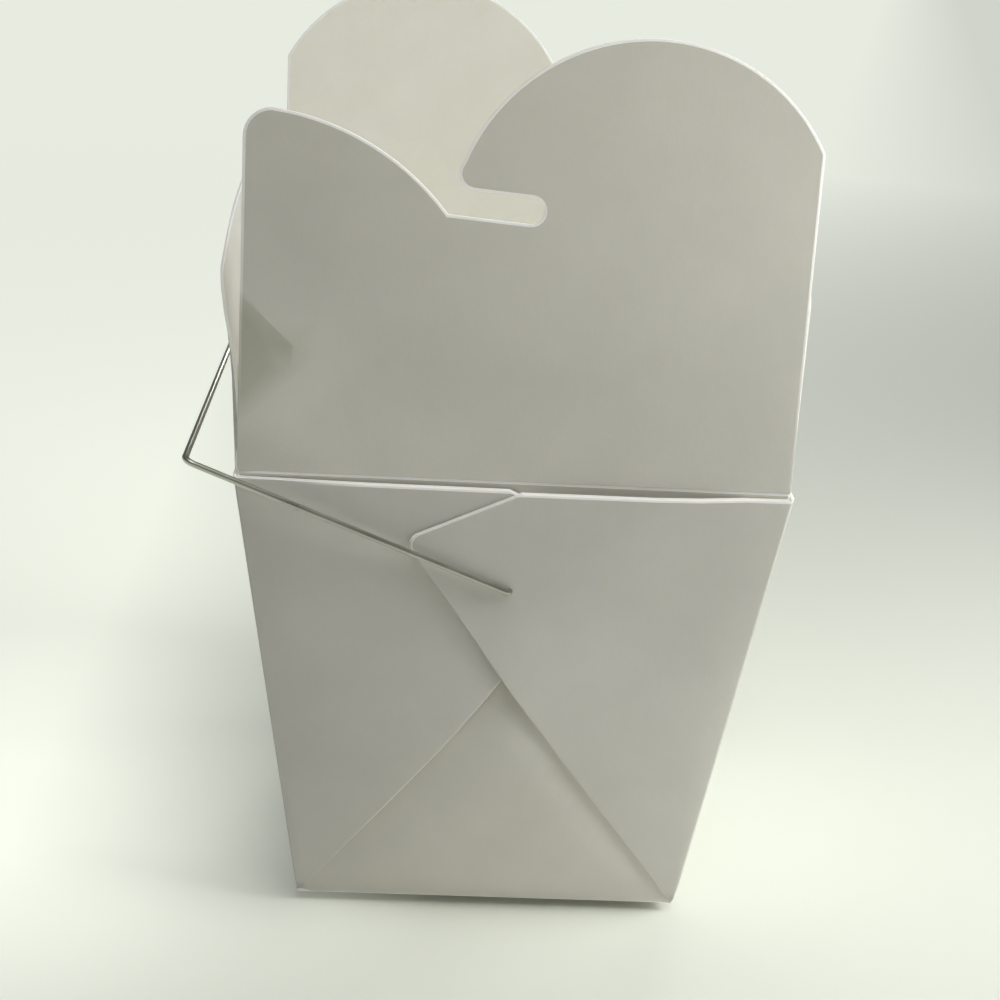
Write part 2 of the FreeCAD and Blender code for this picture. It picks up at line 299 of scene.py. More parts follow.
# carton
carton = dict(
    baseWidth=76.2, baseDepth=82.6,
    topWidth=101.6, topDepth=108.0,
    height=92.6,          # from the base crease to the dust flap crease
    rise=2.2,             # of the base crease over the flat
    border=12.0, borderBend=0.9,
    creaseRound=0.7,
    cornerRound=0.6,
    foldAngle=34.9,       # of the webs, from the upright
    foldSquare=0.4,       # under 1, a pressed fold is squarer than a half circle
    cutOffset=1.1, cutAngle=25.8,
    tipRound=2.2,
    topClearance=0.5,
    growBy=1.5,           # height over which a web grows out of its corner
    fullBy=6.0,           # height at which the layers have their full spacing
    lapLift=1.16, lapReach=20.0,         # how far, and how gently, the right web climbs over the left one
    webSwing=0.006,                      # slope of the webs, away from their corners
    underLift=0.45, underReach=24.0,     # the left web bends away from its corner
    faceBow=3.8, bowLoss=0.8, bowLossStart=0.42, bowLossEnd=0.76,  # the bow flattens above the middle
    sideBow=(0.0, 1.0),                  # left wall, right wall
    pillow=1.2, pillowReach=(9.0, 4.0),  # a face swells out between its webs, by the left and right fold
    paleStart=26.0, paleEnd=42.0,        # the painted highlight on the left webs' top edges fades out towards their corners
    holeRadius=0.68,
    frontTop=hinges["front_lock_crease"].z,
    rearTop=hinges["rear_lock_crease"].z,
    sideTop=hinges["left_dust_crease"].z,
)


# where each point of the folded walls goes, from a few lengths
class Walls:
    def __init__(self, cut):
        self.cut = cut
        self.slope = (cut["topDepth"] - cut["baseDepth"]) / 2 / cut["height"]
        lean = math.atan(self.slope)
        self.up = Vector((0, -math.sin(lean), math.cos(lean)))
        self.out = Vector((0, -math.cos(lean), -math.sin(lean)))
        self.length = cut["height"] / math.cos(lean)
        self.cornerSlope = (cut["topWidth"] - cut["baseWidth"]) / 2 / self.length
        self.across = math.hypot(1, self.cornerSlope)
        self.foot = Vector((0, -cut["baseDepth"] / 2, cut["rise"]))
        self.turn = (thick + board["layerGap"]) / 2
        self.hemInset = thick + board["layerGap"] + half + self.turn
        self.webTop = self.length - cut["topClearance"]
        foldAngle = math.radians(cut["foldAngle"])
        fold = math.tan(foldAngle)
        fall = math.tan(math.radians(cut["cutAngle"]))
        run = cut["baseWidth"] / 2 - fold * self.webTop - cut["cutOffset"]
        back = run / (1 + fold * fall)
        tip = Vector((cut["cutOffset"] + back, self.webTop + back * fall))
        toFoot = (Vector((cut["baseWidth"] / 2, 0)) - tip).normalized()
        toCut = (Vector((cut["cutOffset"], self.webTop)) - tip).normalized()
        corner = toFoot.angle(toCut) / 2
        reach = cut["tipRound"] / math.tan(corner)
        self.tipStart = tip + toFoot * reach
        self.tipEnd = tip + toCut * reach
        self.tipCentre = tip + (toFoot + toCut).normalized() * (cut["tipRound"] / math.sin(corner))
        self.fold, self.fall = fold, fall
        self.foldSide = Vector((-math.cos(foldAngle), -math.sin(foldAngle)))
        self.creases = self.roundCrease()
        self.firstHeight = self.creases[-1][0]

    # the rounded crease between the base border and a wall, as up the wall and out of it
    def roundCrease(self):
        tilt = math.atan(self.cut["rise"] / self.cut["border"])
        opening = math.pi / 2 + math.atan(self.slope) + tilt
        radius = self.cut["creaseRound"]
        wall = Vector((1, 0))
        border = Vector((math.cos(opening), -math.sin(opening)))
        middle = (wall + border).normalized()
        centre = middle * (radius / math.sin(opening / 2))
        reach = radius / math.tan(opening / 2)
        first = (border * reach - centre).normalized()
        last = (wall * reach - centre).normalized()
        spots = []
        for step in range(4):
            way = first.slerp(last, step / 3)
            spots.append(centre + way * (radius - half))
        return spots

    # the web's slanting fold, its rounded tip and the slanted cut above
    def webEdge(self, up):
        if up <= self.tipStart.y:
            return self.cut["baseWidth"] / 2 - self.fold * up
        if up < self.tipEnd.y:
            rise = up - self.tipCentre.y
            return self.tipCentre.x - math.sqrt(max(0, self.cut["tipRound"] ** 2 - rise * rise))
        return self.cut["cutOffset"] + (up - self.webTop) / self.fall

    def facePoint(self, across, up, out):
        return self.foot + Vector((across, 0, 0)) + self.up * up + self.out * out

    # a point of the front face and its webs; side is 1 for the right web, which lies over
    def webPoint(self, kind, side, place, up):
        cut, turn = self.cut, self.turn
        spread = ease(up, self.firstHeight, cut["fullBy"])
        edge = cut["baseWidth"] / 2 + self.cornerSlope * up
        hem = edge - (half + (self.hemInset - half) * spread) * self.across
        inner = -half + 2 * turn * spread
        outer = inner + 2 * turn * spread
        cornerIn = (half + (cut["cornerRound"] - half) * spread) * self.across
        folded = up <= self.tipStart.y + 0.001
        foldEdge = self.webEdge(up)
        if folded:
            foldEdge += (half + turn) * spread / math.cos(math.radians(cut["foldAngle"]))
        grow = ease(up, self.firstHeight, self.firstHeight + cut["growBy"])
        foldEdge = between(hem, min(foldEdge, hem), grow)
        rise = up
        if kind == "face":
            across, out = hem * place, -half
        elif kind == "hem":
            across = hem + turn * spread * math.sin(math.pi * place)
            out = -half + turn * spread * (1 - math.cos(math.pi * place))
        elif kind in ("inner", "outer"):
            start = hem if kind == "inner" else edge - cornerIn
            lip = foldEdge + min(board["lip"], 0.3 * abs(start - foldEdge))
            fade = foldEdge + min(board["lip"] + board["lipFade"], 0.4 * abs(start - foldEdge))
            across = between(start, fade, place) if place <= 1 else (lip if place < 2 else foldEdge)
            out = inner if kind == "inner" else outer
        elif kind == "fold":
            swell = turn * spread * math.sin(math.pi * place) ** cut["foldSquare"]
            across = foldEdge + self.foldSide.x * swell
            rise = up + self.foldSide.y * swell
            level = math.cos(math.pi * place)
            out = inner + turn * spread * (1 - math.copysign(abs(level) ** cut["foldSquare"], level))
        else:
            away = math.radians(90) * place
            bend = (cut["cornerRound"] - half) * spread
            across = edge - cornerIn + bend * math.sin(away) * self.across
            out = outer - bend * (1 - math.cos(away))
        if kind not in ("face", "hem", "corner"):
            inward = max(0, (edge - across) / self.across - self.hemInset)
            if side > 0:
                under = across - (self.fold * rise - cut["baseWidth"] / 2)
                lift = cut["lapLift"] * ease(-under, -cut["lapReach"], 1.5)
                lift += cut["underLift"] * ease(lift, 0, 0.8 * cut["lapLift"])
            else:
                lift = cut["underLift"] * ease(inward, 0, cut["underReach"])
            out += (cut["webSwing"] * inward + lift) * spread
        if kind == "face":
            reach = self.foldSide.x * (self.fold * up - cut["baseWidth"] / 2) - abs(across * self.foldSide.x)
            out += cut["pillow"] * ease(reach, 0, cut["pillowReach"][across > 0]) * ease(up, 0.5, 9)
        level = max(0, min(1, rise / self.length))
        bow = cut["faceBow"] * (1 - (across / edge) ** 2) * 4 * level * (1 - level)
        bow *= 1 - cut["bowLoss"] * ease(level, cut["bowLossStart"], cut["bowLossEnd"])
        return self.facePoint(across * (side or 1), rise, out + bow)

    # heights of the rows up the webs, with the tip's curve; the rows of the lips at the top come after these
    def rows(self):
        heights = [self.firstHeight, 1.0, 1.7, 2.5, 3.4, 4.6, 6.0, 8.0, 11.0]
        heights += [15.0 + 4.1 * step for step in range(16)]
        heights.append(self.tipStart.y - 0.6)
        start = self.tipStart - self.tipCentre
        end = self.tipEnd - self.tipCentre
        sweep = start.angle(end)
        turned = math.atan2(start.y, start.x)
        turned = turned if turned > 0 else turned + 2 * math.pi
        for step in range(9):
            angle = turned - sweep * step / 8
            heights.append(self.tipCentre.y + self.cut["tipRound"] * math.sin(angle))
        heights += [self.tipEnd.y + 1.6, self.tipEnd.y + 4.0, self.tipEnd.y + 6.4]
        return heights


# half of the way round the walls: a face with its two webs, and the side wall that follows;
# each column is its kind, its side and its place from 0 to 1 across that kind
def cartonColumns():
    laps = [0, 1 / 6, 2 / 6, 3 / 6, 4 / 6, 5 / 6, 1, 1.5, 2]
    turns = [step / 6 for step in range(7)]
    bends = [0, 0.34, 0.67, 1]
    web = [("hem", place) for place in turns] + [("inner", place) for place in laps[1:]]
    web += [("fold", place) for place in turns[1:]]
    web += [("outer", place) for place in reversed(laps[:-1])] + [("corner", place) for place in bends[1:]]
    columns = [(kind, -1, place) for kind, place in reversed(web)]
    columns += [("face", 0, step / 14 - 1) for step in range(1, 28)]
    columns += [(kind, 1, place) for kind, place in web]
    columns += [("side", 0, step / 14) for step in range(1, 14)]
    return columns


def makeCarton(cut):
    walls = Walls(cut)
    columns = cartonColumns()
    count = len(columns)
    heights = walls.rows()
    tipRow = min(row for row, height in enumerate(heights) if height >= walls.tipStart.y - 0.001)
    topRow = len(heights) + 2
    below = {topRow: 0, topRow - 1: board["lip"], topRow - 2: board["lip"] + board["lipFade"]}

    def topOf(kind, place, front):
        crease = cut["frontTop"] if front else cut["rearTop"]
        faceTop = (crease - board["creaseOverlap"] - cut["rise"]) / walls.up.z
        sideTop = (cut["sideTop"] - board["creaseOverlap"] - cut["rise"]) / walls.up.z
        if kind == "face":
            return faceTop
        if kind == "hem":
            return between(faceTop, walls.webTop, min(1, place * 2))
        if kind == "corner":
            return between(walls.webTop, sideTop, place)
        return sideTop if kind == "side" else walls.webTop

    def mirrored(point):
        return Vector((-point.x, -point.y, point.z))

    # a point of the crease or of the base, on a level rectangle
    def ringPoint(index, width, depth, height):
        kind, side, place = columns[index % count]
        if kind == "face":
            point = Vector((width * place, -depth, height))
        elif kind == "side":
            point = Vector((width, between(-depth, depth, place), height))
        else:
            point = Vector((width * side, -depth, height))
        return point if index < count else mirrored(point)

    # rows -4 to -1 are the rounded crease, and row 0 is the first one up the walls
    def spot(index, row):
        front = index < count
        kind, side, place = columns[index % count]
        if row < 0:
            up, out = walls.creases[row + 4]
            corner = walls.facePoint(0, up, out)
            depth = abs(corner.y)
            width = cut["baseWidth"] / 2 - (cut["baseDepth"] / 2 - depth)
            return ringPoint(index, width, depth, corner.z)
        if row < len(heights):
            up = heights[row]
        else:
            up = topOf(kind, place, front) - below[row]
        if kind == "side":
            start = walls.webPoint("corner", 1, 1, up)
            end = mirrored(walls.webPoint("corner", -1, 1, up))
            point = start.lerp(end, place)
            level = max(0, min(1, up / walls.length))
            bow = 1 - (2 * place - 1) ** 2
            point.x += cut["sideBow"][front] * bow * math.sin(math.pi * level) ** 0.8
        else:
            point = walls.webPoint(kind, side, place, up)
        return point if front else mirrored(point)

    bpy.ops.mesh.primitive_circle_add(vertices=2 * count, radius=50, fill_type="NOTHING")
    piece = named("cartonBody")
    for name in ("column", "row"):
        piece.data.attributes.new(name, "INT", "POINT")
    piece.data.attributes.new("cutEdge", "FLOAT", "POINT")
    for index in range(2 * count):
        piece.data.attributes["column"].data[index].value = index
        piece.data.attributes["row"].data[index].value = -4
    openEdit(piece)
    sheet = bmesh.from_edit_mesh(piece.data)
    column = sheet.verts.layers.int["column"]
    for vert in sheet.verts:
        vert.co = spot(vert[column], -4)
        vert.select_set(True)
    bmesh.update_edit_mesh(piece.data)
    bpy.ops.mesh.select_mode(type="EDGE")
    bpy.ops.mesh.select_all(action="SELECT")

    # each pull draws the whole rim up by one row
    def pull(row, place):
        bpy.ops.mesh.extrude_edges_move(TRANSFORM_OT_translate={"value": (0, 0, 1)})
        sheet = bmesh.from_edit_mesh(piece.data)
        column, level = sheet.verts.layers.int["column"], sheet.verts.layers.int["row"]
        lip = sheet.verts.layers.float["cutEdge"]
        for vert in sheet.verts:
            if vert.select:
                vert.co = place(vert[column])
                vert[level] = row
                kind, side, share = columns[vert[column] % count]
                slanted = row > tipRow and kind in ("inner", "outer") and share > 1
                # the lips along the top, the slanted cuts and the base crease are marked for painted
                # highlight
                atTop, atCrease = row > topRow - 2, -4 < row < 0
                vert[lip] = 1 if atTop or slanted or atCrease else 0
                if atTop and side < 0:
                    vert[lip] = 1 - ease(abs(vert.co.x), cut["paleStart"], cut["paleEnd"])
        bmesh.update_edit_mesh(piece.data)

    def pickByLayers(kind, test):
        sheet = bmesh.from_edit_mesh(piece.data)
        layers = sheet.verts.layers.int["column"], sheet.verts.layers.int["row"]
        pick(piece, kind, lambda item: test(item, *layers))

    for row in range(-3, topRow + 1):
        pull(row, lambda index: spot(index, row))
    print("carton walls:", topRow, "rows drawn up")

    # the slanted cut parts the two layers of each web above the fold's end
    def opened(face, column, level):
        if min(vert[level] for vert in face.verts) < tipRow:
            return False
        kinds = [columns[vert[column] % count] for vert in face.verts]
        return any(kind == "fold" and place < 1 for kind, side, place in kinds)

    pickByLayers("FACE", opened)
    bpy.ops.mesh.delete(type="FACE")

    # base: the border slopes down to the flat
    bend = cut["borderBend"]
    rings = [
        (cut["border"] - bend, bend * cut["rise"] / cut["border"]),
        (cut["border"], 0.05),
        (cut["border"] + bend, 0.0),
        (cut["border"] + 9.0, 0.0),
        (cut["border"] + 18.0, 0.0),
    ]
    pickByLayers("VERT", lambda vert, column, level: vert[level] == -4)
    bpy.ops.mesh.select_mode(type="EDGE")
    for ring, (inset, lift) in enumerate(rings):
        width, depth = cut["baseWidth"] / 2 - inset, cut["baseDepth"] / 2 - inset
        pull(-5 - ring, lambda index: ringPoint(index, width, depth, half + lift))
    bpy.ops.mesh.edge_face_add()
    bpy.ops.mesh.select_mode(type="VERT")
    bpy.ops.mesh.select_all(action="SELECT")
    bpy.ops.mesh.remove_doubles(threshold=0.0005)
    bpy.ops.mesh.normals_make_consistent(inside=False)
    bpy.ops.mesh.select_all(action="DESELECT")
    bpy.ops.mesh.select_loose()
    bpy.ops.mesh.delete(type="VERT")
    closeEdit()
    for name in ("column", "row"):
        piece.data.attributes.remove(piece.data.attributes[name])
    for finish in (boardFace, boardInside, boardCut):
        piece.data.materials.append(finish)
    thicken(piece)

    # one punch makes the bail's holes through all the layers
    bpy.ops.mesh.primitive_cylinder_add(vertices=32, radius=cut["holeRadius"], depth=160,
                                        location=(0, 0, hinges["bail_swing"].z), rotation=(math.pi / 2, 0, 0))
    punch = named("punch")
    punch.data.materials.append(boardCut)
    addModifier(piece, "BOOLEAN", operation="DIFFERENCE", solver="EXACT", object=punch,
                material_mode="TRANSFER")
    bpy.data.objects.remove(punch)
    roundCuts(piece, board["cutRound"])
    toMetres(piece)
    print("carton:", len(piece.data.polygons), "faces")
    return piece


# flaps: an outline is drawn by one point, which is pulled and spun round it
def startOutline(name, start):
    bpy.ops.mesh.primitive_plane_add(size=1, location=(0, 0, 0))
    piece = named(name)
    openEdit(piece)
    bpy.ops.mesh.select_all(action="SELECT")
    bpy.ops.mesh.merge(type="CENTER")
    bpy.ops.transform.translate(value=start)
    return piece


def penPlace(piece):
    sheet = bmesh.from_edit_mesh(piece.data)
    return next(vert.co.copy() for vert in sheet.verts if vert.select)


def drawLine(piece, target):
    move = Vector(target) - penPlace(piece)
    bpy.ops.mesh.extrude_vertices_move(TRANSFORM_OT_translate={"value": move})


# an arc from the pen through a middle point to its end, all on the plane y = 0
def drawArc(piece, middle, target, steps):
    start, middle, target = penPlace(piece), Vector(middle), Vector(target)
    first, second = middle - start, target - start
    normal = first.cross(second)
    toCentre = first.length_squared * second.cross(normal) + second.length_squared * normal.cross(first)
    centre = start + toCentre / (2 * normal.length_squared)
    away, last = start - centre, target - centre
    angle = away.angle(last)
    axis = normal.normalized()
    if (away.cross(last)).dot(axis) < 0:
        angle = 2 * math.pi - angle
    bpy.ops.mesh.spin(steps=steps, angle=-angle, center=centre, axis=axis)


# the middle point of an arc that rises over its chord
def bowed(start, end, rise):
    chord = end - start
    return (start + end) / 2 + Vector((-chord.z, 0, chord.x)).normalized() * rise


# fills the outline, sets off its lip, which is painted paler as a highlight, and cuts it into a lattice that
# can be bent
def fillOutline(piece, width, height, step):
    bpy.ops.mesh.select_all(action="SELECT")
    bpy.ops.mesh.remove_doubles(threshold=0.001)
    bpy.ops.mesh.edge_face_add()
    bpy.ops.mesh.select_mode(type="FACE")
    bpy.ops.mesh.select_all(action="SELECT")
    bpy.ops.mesh.inset(thickness=board["lip"], depth=0, use_boundary=True, use_even_offset=True)
    closeEdit()
    for name in ("cutEdge", "buckleShade"):
        piece.data.attributes.new(name, "FLOAT", "POINT")
    openEdit(piece)
    pick(piece, "FACE", lambda face: face.calc_area() > 100)
    sheet = bmesh.from_edit_mesh(piece.data)
    lip = sheet.verts.layers.float["cutEdge"]
    for vert in sheet.verts:
        vert[lip] = 1 if vert.co.z > 0.5 else 0
    bmesh.update_edit_mesh(piece.data)
    bpy.ops.mesh.inset(thickness=board["lipFade"], depth=0, use_boundary=True, use_even_offset=True)
    sheet = bmesh.from_edit_mesh(piece.data)
    lip = sheet.verts.layers.float["cutEdge"]
    for vert in sheet.verts:
        if vert.select:
            vert[lip] = 0
    bmesh.update_edit_mesh(piece.data)
    across = int(width / step)
    for index in range(1, across):
        bpy.ops.mesh.select_all(action="SELECT")
        bpy.ops.mesh.bisect(plane_co=(-width / 2 + width * index / across, 0, 0), plane_no=(1, 0, 0))
    up = int(height / step)
    for index in range(1, up):
        bpy.ops.mesh.select_all(action="SELECT")
        bpy.ops.mesh.bisect(plane_co=(0, 0, height * index / up), plane_no=(0, 0, 1))
    for low in (1.0, 2.4):  # two more rows beside the crease
        bpy.ops.mesh.select_all(action="SELECT")
        bpy.ops.mesh.bisect(plane_co=(0, 0, low), plane_no=(0, 0, 1))


# pushes each point of a flap out of its plane
def bendSheet(piece, push):
    for vert in piece.data.vertices:
        vert.co.y -= push(vert.co.x, vert.co.z)
    piece.data.update()


# stands a finished sheet on its crease, leaning outwards, on one of the four walls
def standFlap(piece, lean, quarter, crease):
    distance = Vector((crease.x, crease.y)).length
    turn = Matrix.Rotation(math.radians(90 * quarter), 4, "Z")
    reach = Matrix.Translation((0, -distance, crease.z))
    piece.matrix_world = turn @ reach @ Matrix.Rotation(math.radians(lean), 4, "X")
    makeActive(piece)
    bpy.ops.object.transform_apply(location=True, rotation=True, scale=True)


# gives a bent sheet its board, a rounded crease and rounded cuts
def finishFlap(piece):
    for finish in (boardFace, boardInside, boardCut):
        piece.data.materials.append(finish)
    thicken(piece)
    openEdit(piece)
    foot = -half
    pick(piece, "EDGE", lambda edge: all(abs(vert.co.z - foot) < 0.02 for vert in edge.verts)
         and abs(edge.verts[0].co.x - edge.verts[1].co.x) > 0.05)
    bpy.ops.mesh.bevel(offset=half * 0.96, segments=4, affect="EDGES", clamp_overlap=False)
    closeEdit()
    roundCuts(piece, board["cutRound"])


lockFlap = dict(
    crown=2.2, crownBy=32, crownSide=50,   # the flap swells towards its middle
    sideGap=0.7, cornerHeight=61.2,
    lobeOffset=20.0, lobeHeight=79.1,
    humpHeight=64.2, humpRound=5.0, humpRise=3.5,
    mouthOffset=14.4, slotEnd=0.3, slotHeight=49.1, slotWidth=4.6, slotTilt=4.0,
    hookLength=10.4, noseBack=1.8, noseHeight=4.8, noseRise=1.5,
    lattice=4.5,
    frontLean=-2.5, rearLean=2.0,
)


# a buckle in the front flap's left edge: a crisp fold above, a soft one below
buckle = dict(
    top=31.9, bottom=8.4, reach=12.9, reachHeight=20.5, slope=0.16,
    softFold=2.5,
    shadeFade=3.5,      # the painted shade on the buckle fades out towards the soft fold
    edgeRise=1.35,     # the edge beside it stands proud, within the three spans below
    riseOut=(30, 50), riseFrom=(0, 9), riseTo=(-36, -24),
)


# the two folds, each as a point on it and the way into the buckle
def buckleLines(cut, side):
    top, bottom = Vector((-side, 0, cut["top"])), Vector((-side, 0, cut["bottom"]))
    point = Vector((cut["reach"] - side, 0, cut["reachHeight"]))
    across = Vector((0, 1, 0))
    upper = top, across.cross(point - top).normalized()
    lower = bottom, (point - bottom).cross(across).normalized()
    return upper, lower


def buckleDepth(cut, side, along, up):
    spot = Vector((along, 0, up))
    upper, lower = ((spot - start).dot(inwards) for start, inwards in buckleLines(cut, side))
    if min(upper, lower) <= 0:
        return 0
    return cut["slope"] * min(upper, lower * lower / (lower + cut["softFold"]))


def cutBuckle(piece, cut, side):
    for start, inwards in buckleLines(cut, side):
        pick(piece, "FACE", lambda face: face.calc_center_median().x < 1.2 * cut["reach"] - side
             and cut["bottom"] - 5 < face.calc_center_median().z < cut["top"] + 5)
        bpy.ops.mesh.bisect(plane_co=start, plane_no=inwards)
    start, inwards = buckleLines(cut, side)[0]
    pick(piece, "EDGE", lambda edge: all(abs((vert.co - start).dot(inwards)) < 0.001 for vert in edge.verts)
         and max(vert.co.x for vert in edge.verts) < cut["reach"] - side + 0.01)
    bpy.ops.mesh.mark_sharp()
    # the buckle's face is marked for painted shade, a darker colour standing in for the shadow there
    sheet = bmesh.from_edit_mesh(piece.data)
    buckleShade = sheet.verts.layers.float["buckleShade"]
    for vert in sheet.verts:
        near, far = ((vert.co - start).dot(inwards) for start, inwards in buckleLines(cut, side))
        vert[buckleShade] = ease(near, -0.01, 0.01) * ease(far, -0.01, cut["shadeFade"])
    bmesh.update_edit_mesh(piece.data)


def makeLockFlap(name, cut, push):
    side = carton["topWidth"] / 2 - cut["sideGap"]
    tilt = math.radians(cut["slotTilt"])
    along = Vector((-math.cos(tilt), 0, math.sin(tilt)))
    across = Vector((math.sin(tilt), 0, math.cos(tilt))) * (cut["slotWidth"] / 2)
    slotEnd = Vector((-cut["slotEnd"], 0, cut["slotHeight"]))
    mouth = slotEnd + along * ((cut["mouthOffset"] - cut["slotEnd"]) / math.cos(tilt)) - across
    hook = slotEnd + along * cut["hookLength"] + across
    nose = hook + Vector((-cut["noseBack"], 0, cut["noseHeight"]))
    hump, bend = cut["humpRound"], cut["humpRound"] * (1 - math.sqrt(0.5))
    top = cut["humpHeight"]
    piece = startOutline(name, (-side, 0, -half))
    drawLine(piece, (-side, 0, top - hump))
    drawArc(piece, (-side + bend, 0, top - bend), (-side + hump, 0, top), 8)
    drawArc(piece, bowed(Vector((-side + hump, 0, top)), mouth, cut["humpRise"]), mouth, 14)
    drawLine(piece, slotEnd - across)
    drawArc(piece, slotEnd - along * (cut["slotWidth"] / 2), slotEnd + across, 10)
    drawLine(piece, hook)
    drawArc(piece, bowed(hook, nose, cut["noseRise"]), nose, 5)
    drawArc(piece, (cut["lobeOffset"], 0, cut["lobeHeight"]), (side, 0, cut["cornerHeight"]), 40)
    drawLine(piece, (side, 0, -half))
    drawLine(piece, (-side, 0, -half))
    fillOutline(piece, 2 * side, cut["lobeHeight"], cut["lattice"])
    if name == "frontLockFlap":
        cutBuckle(piece, buckle, side)
    closeEdit()
    bendSheet(piece, push)
    finishFlap(piece)
    print(name + ":", len(piece.data.polygons), "faces")
    return piece


dustFlap = dict(
    endGap=3.4, sideHeight=37.0, middleHeight=45.0, cornerRound=3.0,
    lattice=4.0, lean=0.0,
    openLean=5.0,         # how far the left flap leans out when open, which its profile gives
    profile=((0, 0), (0.8, 0.3), (2, 0.55), (5, 0.92), (11, 1.22), (15.5, 1.36), (24, 2.2), (29, 2.6),
             (36, 3.05), (46, 3.5)),  # the left flap: height above the crease, and out
    curl=1.1,             # the left flap's rear end bends back
    hollow=0.4,           # of the right flap
)


def makeDustFlap(name, cut, push):
    side = carton["topDepth"] / 2 - cut["endGap"]
    radius = cut["cornerRound"]
    bend = radius * (1 - math.sqrt(0.5))
    high = cut["sideHeight"]
    piece = startOutline(name, (-side, 0, -half))
    drawLine(piece, (-side, 0, high - radius))
    drawArc(piece, (-side + bend, 0, high - bend), (-side + radius, 0, high), 6)
    drawArc(piece, (0, 0, cut["middleHeight"]), (side - radius, 0, high), 30)
    drawArc(piece, (side - bend, 0, high - bend), (side, 0, high - radius), 6)
    drawLine(piece, (side, 0, -half))
    drawLine(piece, (-side, 0, -half))
    fillOutline(piece, 2 * side, cut["middleHeight"], cut["lattice"])
    closeEdit()
    bendSheet(piece, push)
    finishFlap(piece)
    print(name + ":", len(piece.data.polygons), "faces")
    return piece


# how far a flap is pushed out of its plane, by its place along and above the crease
def rearPush(along, up):
    return lockFlap["crown"] * ease(up, 0, lockFlap["crownBy"]) * (1 - (along / lockFlap["crownSide"]) ** 2)


def frontPush(along, up):
    rise = ease(-along, *buckle["riseOut"]) * ease(up, *buckle["riseFrom"]) * ease(-up, *buckle["riseTo"])
    crown = rearPush(along, up) + buckle["edgeRise"] * rise
    return crown - buckleDepth(buckle, carton["topWidth"] / 2 - lockFlap["sideGap"], along, up)


# shut, the dust flaps lie under the lock flaps, which leave them this much room
shutRoom = dict(
    around=3,         # the least room within this distance counts
    frontReach=68,    # where the front flap ends
    rearStep=0.56,    # the rear flap lies this much over the front one
    spare=0.03,
)


def roomUnder(along, up):
    across = up - carton["topWidth"] / 2
    front, rear = carton["topDepth"] / 2 - along, carton["topDepth"] / 2 + along
    steps = (-shutRoom["around"], 0, shutRoom["around"])
    near = [(max(-lockFlap["crownSide"], across + stepX), stepZ) for stepX in steps for stepZ in steps]
    room = shutRoom["rearStep"] + min(rearPush(place, rear + step) for place, step in near)
    if front < shutRoom["frontReach"]:
        room = min(room, min(frontPush(place, front + step) for place, step in near))
    return room + up * math.tan(math.radians(dustFlap["openLean"])) + shutRoom["spare"]


def leftPush(along, up):
    points = dustFlap["profile"]
    for (lowUp, lowOut), (highUp, highOut) in zip(points, points[1:]):
        if up <= highUp:
            share = max(0, (up - lowUp) / (highUp - lowUp))
            break
    curl = dustFlap["curl"] * ease(along, 44.5, 51) * ease(up, 0.5, 6) * ease(-up, -33, -18)
    return min(between(lowOut, highOut, share), roomUnder(along, up)) - curl


def rightPush(along, up):
    return -dustFlap["hollow"] * ease(up, 0, 40) * (1 - (along / 52) ** 2)


# wire bail
bail = dict(
    diameter=1.2,
    angle=22.7, overhang=7.966,     # how it lies, and how far its crossbar is beyond the box
    standoff=4.4, splay=0.08,       # how far its arms stand off the faces, and open outwards
    footLength=6.0, footInset=1.8,  # the turned feet inside the walls
    eyeRound=1.0, cornerRound=1.8,
    sides=20, chamfer=0.12,
)


# the wire's corners, from the front foot to the rear one
def bailRoute(cut, holeZ):
    slope = (carton["topDepth"] - carton["baseDepth"]) / 2 / carton["height"]
    holeY = carton["baseDepth"] / 2 + (holeZ - carton["rise"]) * slope
    angle = math.radians(cut["angle"])
    reach = (carton["topWidth"] / 2 + cut["overhang"]) / math.cos(angle)
    armY = holeY + cut["standoff"]
    footY = holeY - thick / math.cos(math.atan(slope)) - cut["footInset"]
    eye = Vector((0, 0, holeZ))
    away = Vector((-math.cos(angle), 0, math.sin(angle)))
    front = [eye + Vector((0, -footY, -cut["footLength"])), eye + Vector((0, -footY, 0)),
             eye + Vector((0, -armY, 0)), eye + away * reach + Vector((0, -(armY + reach * cut["splay"]), 0))]
    rear = [Vector((spot.x, -spot.y, spot.z)) for spot in reversed(front)]
    return front + rear


